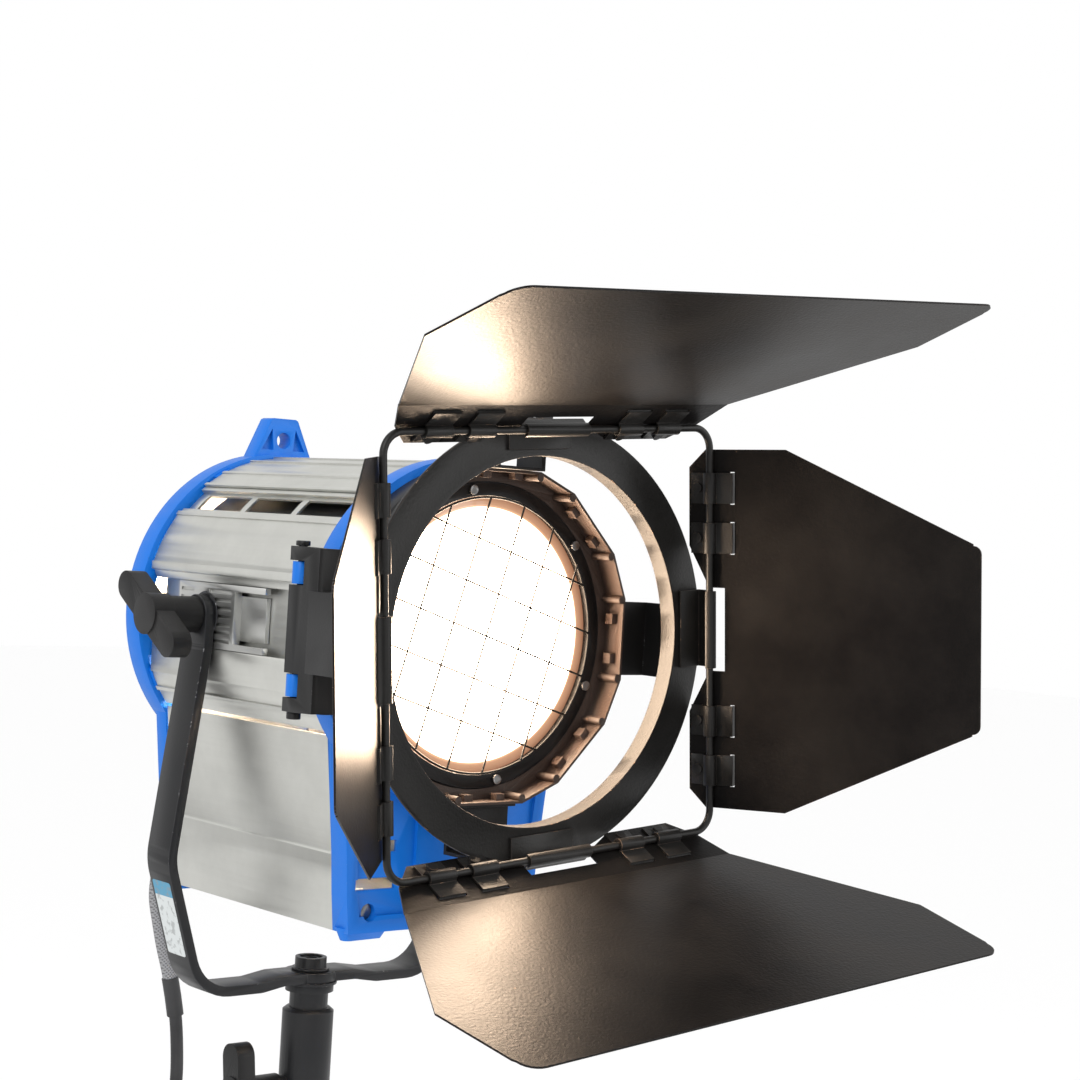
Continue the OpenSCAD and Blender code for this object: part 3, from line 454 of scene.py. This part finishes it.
def label_card():
    """White film with a band, and scuffs."""
    made, shader, tree = new_material("printed label")
    along = add_node(tree, "ShaderNodeUVMap").outputs["UV"]
    place = add_node(tree, "ShaderNodeTexCoord").outputs["Object"]
    split = add_node(tree, "ShaderNodeSeparateXYZ", Vector=along)
    band = add_node(tree, "ShaderNodeValToRGB", Fac=split.outputs["Y"])
    band.color_ramp.interpolation = "CONSTANT"
    band.color_ramp.elements[0].color = (0.55, 0.58, 0.58, 1)
    band.color_ramp.elements[1].position = 0.8
    band.color_ramp.elements[1].color = (0.05, 0.25, 0.4, 1)
    scuffs = add_node(tree, "ShaderNodeTexNoise", Vector=place, Scale=240.0, Detail=6.0)
    worn = add_node(tree, "ShaderNodeMapRange", Value=scuffs.outputs["Fac"])
    worn.inputs["From Min"].default_value = 0.52
    worn.inputs["From Max"].default_value = 0.62
    worn.inputs["To Max"].default_value = 0.6
    mix = add_node(tree, "ShaderNodeMix", data_type="RGBA", Factor=worn.outputs["Result"])
    tree.links.new(band.outputs["Color"], mix.inputs[6])
    mix.inputs[7].default_value = (0.2, 0.21, 0.21, 1)
    tree.links.new(mix.outputs[2], shader.inputs["Base Color"])
    shader.inputs["Roughness"].default_value = 0.35
    return made


bpy.ops.object.select_all(action="DESELECT")
bpy.ops.mesh.primitive_plane_add(size=1, location=(0, 0, 0))
label = bpy.context.object
label.name = label.data.name = "blank_label"
label.scale = (*label_size, 1)
bpy.ops.object.transform_apply(location=True, rotation=True, scale=True)
bpy.ops.object.mode_set(mode="EDIT")
bpy.ops.mesh.select_all(action="SELECT")
bpy.ops.mesh.bevel(offset=1.6 * mm, segments=4, affect="VERTICES")
bpy.ops.object.mode_set(mode="OBJECT")
thick = label.modifiers.new("film", "SOLIDIFY")
thick.thickness = 0.12 * mm
bpy.ops.object.modifier_apply(modifier=thick.name)
axis_across = Vector((0, -1, 0))
turned = Matrix((axis_across, -label_down, axis_across.cross(-label_down))).transposed().to_4x4()
label.matrix_world = Matrix.Translation(label_middle) @ turned
bpy.ops.object.transform_apply(location=True, rotation=True, scale=True)
label.data.materials.append(label_card())
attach(label, "yoke")


# ---- T-handles ----------------------------------------------------------------------
# Both handles are the same moulded plastic T on a threaded stud.
handle_plastic = coated(
    "handle plastic", (0.004, 0.004, 0.0045), (0.05, 0.05, 0.05),
    wear=0.0, soil=0.3, grain=1400.0, roughness=0.4, relief=0.3,
)
for node in ("socket_handle", "tilt_handle"):
    finished(node, handle_plastic, None, 1.6, 4)


# ---- Slide clamps -------------------------------------------------------------------
# Two short finned aluminium extrusions run in the rails and carry the tilt bolts.
clamp_metal = drawn_metal("clamp aluminium", (0.56, 0.56, 0.54), 0.42, "Y")
for node in ("slide_clamp_left", "slide_clamp_right"):
    finished(node, clamp_metal, None, 0.3)
finished("pivot_bolts", black_coat, black_edge, 0.5)


# ---- Castings -----------------------------------------------------------------------
# The front and rear frames are aluminium die castings in a bright blue powder coat.
blue = (0.0, 0.15, 0.62)
blue_coat = coated(
    "blue powder coat", blue, (0.5, 0.52, 0.55),
    wear=0.0, soil=0.22, grain=1300.0, roughness=0.36, relief=0.2,
)
blue_edge = coated(
    "rubbed blue edge", (0.008, 0.18, 0.7), (0.45, 0.5, 0.6),
    wear=0.1, soil=0.2, grain=1300.0, roughness=0.3, relief=0.2,
)
for node in ("front_casting", "rear_casting"):
    finished(node, blue_coat, blue_edge, 0.8, 3)


# ---- Shell --------------------------------------------------------------------------
# The body between the castings is bare aluminium extrusion, ribbed to lose heat.
shell_metal = drawn_metal("shell aluminium", (0.62, 0.62, 0.585), 0.42, "Y")
for node in (
    "shell_top", "vent_grille_left", "vent_grille_right", "side_extrusion_left",
    "side_extrusion_right", "lower_panel_left", "lower_panel_right", "bottom_plate", "rear_cover",
):
    finished(node, shell_metal, None, 0.35)
finished("cable_gland", handle_plastic, None, 0.6)


# ---- Lamp and focus drive -----------------------------------------------------------
# The lamp stands in a ceramic holder on a carriage, which a screw moves on two rods.
ceramic = coated(
    "glazed ceramic", (0.62, 0.58, 0.5), (0.3, 0.28, 0.25),
    wear=0.0, soil=0.4, grain=300.0, roughness=0.25, relief=0.05,
)
mirror_metal = drawn_metal("polished reflector", (0.9, 0.9, 0.92), 0.14, "Y", 0.2)
for node in ("light_baffle", "guide_rods", "focus_spindle", "lamp_carriage"):
    finished(node, plain_steel, None, 0.3)
for node in ("bulb_base", "lamp_holder"):
    finished(node, ceramic, None, 0.5)
finished("reflector", mirror_metal, None, 0)
finished("focus_knob", handle_plastic, None, 0.8, 3)
quartz, shader, tree = new_material("quartz bulb")
place = add_node(tree, "ShaderNodeTexCoord").outputs["Object"]
haze = add_node(tree, "ShaderNodeTexNoise", Vector=place, Scale=90.0, Detail=3.0)
dim = add_node(tree, "ShaderNodeMapRange", Value=haze.outputs["Fac"])
dim.inputs["To Min"].default_value = 0.03
dim.inputs["To Max"].default_value = 0.14
tree.links.new(dim.outputs["Result"], shader.inputs["Roughness"])
shader.inputs["Base Color"].default_value = (0.97, 0.97, 0.95, 1)
shader.inputs["Transmission Weight"].default_value = 1.0
shader.inputs["IOR"].default_value = 1.46
finished("bulb_glass", quartz, None, 0)


# ---- Lens door ----------------------------------------------------------------------
# A cast ring that swings on the left, with an eight-sided skirt, and ears for accessories.
door_black = coated(
    "door black", (0.007, 0.007, 0.0075), steel_edge,
    wear=0.0, soil=0.2, roughness=0.34,
)
worn_black = coated(
    "heat-worn black", (0.008, 0.0075, 0.007), (0.1, 0.06, 0.04),
    wear=0.02, soil=0.3, grain=700.0, roughness=0.36, relief=0.3,
)
worn_edge = coated(
    "heat-worn edge", (0.03, 0.022, 0.018), (0.3, 0.2, 0.14),
    wear=0.17, soil=0.4, grain=700.0, roughness=0.36, relief=0.3,
)
# The skirt's brown paint is a painted warm glow, standing in for the lens's light falling on it,
# with soiling and some wear on top.
skirt_brown = coated(
    "skirt painted warm glow", (0.05, 0.03, 0.022), (0.2, 0.13, 0.09),
    wear=0.1, soil=0.6, grain=700.0, roughness=0.42, relief=0.3,
)
for node in (
    "door_frame", "retaining_ring", "door_latch", "top_latch", "accessory_ears", "hinge_pin",
):
    finished(node, door_black, black_edge, 0.5)
finished("door_skirt", skirt_brown, worn_edge, 0.3)
finished("ring_screws", plain_steel, None, 0.2)
finished("wire_guard", worn_black, None, 0)


# ---- Lens ---------------------------------------------------------------------------
# A pressed glass lens, its face cut in stepped rings. The lamp behind it is painted on the glass
# as a glow, white out to 78 mm; the outermost rings get a dim amber glow, a painted reflection of
# the scorched metal round them.
lens_radius = 87.6 * mm
lens_thick = 9.6 * mm
lens_rim = 2.4 * mm
lens_rings = 9
ring_slope = (8.4 * mm, 1.7 * mm)
ring_step = (0.35 * mm, -1.5 * mm)
# Colours of the painted glow by their radius, in tenths of a metre; the dark amber stops past 78
# mm are a painted reflection of the metal round the lens
glow_stops = (
    (0.0, (1, 0.8, 0.62)), (0.74, (1, 0.74, 0.52)), (0.785, (0.02, 0.011, 0.006)),
    (0.8, (0.011, 0.0052, 0.0027)), (0.88, (0.005, 0.002, 0.001)),
)


def lit_glass(name, strength):
    """Glass that glows white out to 78 mm, then amber, with the glow in rings: emission painted on
    the glass for the lamp behind it, the amber a painted reflection of the metal round the lens.
    """
    made, shader, tree = new_material(name)
    place = add_node(tree, "ShaderNodeTexCoord").outputs["Object"]
    shifted = add_node(tree, "ShaderNodeVectorMath", operation="SUBTRACT", _0=place)
    shifted.inputs[1].default_value = lens_centre
    flat = add_node(tree, "ShaderNodeVectorMath", operation="MULTIPLY", _0=shifted.outputs[0])
    flat.inputs[1].default_value = (10, 0, 10)
    out = add_node(tree, "ShaderNodeVectorMath", operation="LENGTH", _0=flat.outputs[0])
    glow = add_node(tree, "ShaderNodeValToRGB", Fac=out.outputs["Value"])
    stops = glow.color_ramp.elements
    stops[0].color = (*glow_stops[0][1], 1)
    stops[1].position = glow_stops[1][0]
    stops[1].color = (*glow_stops[1][1], 1)
    for radius_share, colour in glow_stops[2:]:
        stops.new(radius_share).color = (*colour, 1)
    tree.links.new(glow.outputs["Color"], shader.inputs["Emission Color"])
    shader.inputs["Emission Strength"].default_value = strength
    shader.inputs["Base Color"].default_value = (0.25, 0.2, 0.16, 1)
    smears = add_node(tree, "ShaderNodeTexNoise", Vector=place, Scale=60.0, Detail=4.0)
    rough = add_node(tree, "ShaderNodeMapRange", Value=smears.outputs["Fac"])
    rough.inputs["To Min"].default_value = 0.06
    rough.inputs["To Max"].default_value = 0.22
    tree.links.new(rough.outputs["Result"], shader.inputs["Roughness"])
    return made


bpy.ops.object.select_all(action="DESELECT")
bpy.ops.mesh.primitive_cylinder_add(
    vertices=96, radius=lens_radius, depth=lens_thick, end_fill_type="NGON",
    location=lens_centre + Vector((0, 8.2 * mm, 0)), rotation=(math.pi / 2, 0, 0),
)
lens = bpy.context.object
lens.name = lens.data.name = "stepped_lens"
bpy.ops.object.mode_set(mode="EDIT")
bpy.ops.mesh.select_mode(type="FACE")
bpy.ops.mesh.select_all(action="DESELECT")
faces = bmesh.from_edit_mesh(lens.data)
for face in faces.faces:
    face.select = face.normal.z > 0.9
bmesh.update_edit_mesh(lens.data)
bpy.ops.mesh.inset(thickness=lens_rim, depth=0)
for ring in range(lens_rings):
    last = ring == lens_rings - 1
    bpy.ops.mesh.inset(thickness=ring_slope[0], depth=ring_slope[1])
    bpy.ops.mesh.inset(thickness=ring_step[0], depth=0 if last else ring_step[1])
bpy.ops.object.mode_set(mode="OBJECT")
bpy.ops.object.transform_apply(location=True, rotation=True, scale=True)
bpy.ops.object.shade_smooth_by_angle(angle=math.radians(25))
lens.data.materials.append(lit_glass("lit lens glass", 46.0))
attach(lens, "lens_door")
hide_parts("lens")


# ---- Barndoor -----------------------------------------------------------------------
# A sheet-steel ring with a welded rod frame. The leaves clip to the rod and swing on it.
finished("barndoor_ring", worn_black, worn_edge, 0.4)
finished("rod_frame", worn_black, worn_edge, 0)
finished("rod_brackets", worn_black, worn_edge, 0.3)
leaf_black = coated(
    "leaf black", (0.0035, 0.003, 0.003), (0.16, 0.1, 0.065),
    wear=0.0, soil=0.25, grain=500.0, roughness=0.3, relief=0.3, gloss=0.1,
)
for side in ("top", "bottom", "left", "right"):
    finished("leaf_" + side, leaf_black, worn_edge, 0.25, angle=4)
    finished("clips_" + side, worn_black, worn_edge, 0.2)


# ---- Plug and strap -----------------------------------------------------------------
# A moulded rubber plug on the cord's end, and a woven strap round the coil.
plug = finished("mains_plug", cord_black, None, 0.8, 3)
tie = finished("cord_tie", sleeve_grey, None, 0.5)


# ---- Studio -------------------------------------------------------------------------
# A pale sweep behind and below, a soft key from the left, a fill from the right.
bpy.ops.mesh.primitive_plane_add(size=40, location=(0, 0, -1.1))
floor = bpy.context.object
floor.name = "floor"
floor.data.name = "floor"
floor_white, shader, tree = new_material("studio white")
shader.inputs["Base Color"].default_value = (0.98, 0.98, 0.98, 1)
shader.inputs["Roughness"].default_value = 0.9
floor.data.materials.append(floor_white)
world = bpy.data.worlds.new("studio")
bpy.context.scene.world = world
world.use_nodes = True
world.node_tree.nodes["Background"].inputs["Color"].default_value = (1, 1, 1, 1)
world.node_tree.nodes["Background"].inputs["Strength"].default_value = 1.0
bpy.context.scene.view_settings.view_transform = "Standard"


def softbox(name, place, aim, size, power, colour=(1, 1, 1)):
    """A square area light at a place, aimed at a point."""
    light = bpy.data.lights.new(name, "AREA")
    light.size = size
    light.energy = power
    light.color = colour
    lamp = bpy.data.objects.new(name, light)
    bpy.context.collection.objects.link(lamp)
    lamp.location = place
    lamp.rotation_euler = (Vector(aim) - Vector(place)).to_track_quat("-Z", "Y").to_euler()


softbox("key", (-2.2, -1.4, 2.0), (0, 0, 0.3), 1.4, 42)
softbox("fill", (1.8, -2.2, 1.2), (0, 0, 0.3), 1.6, 20)
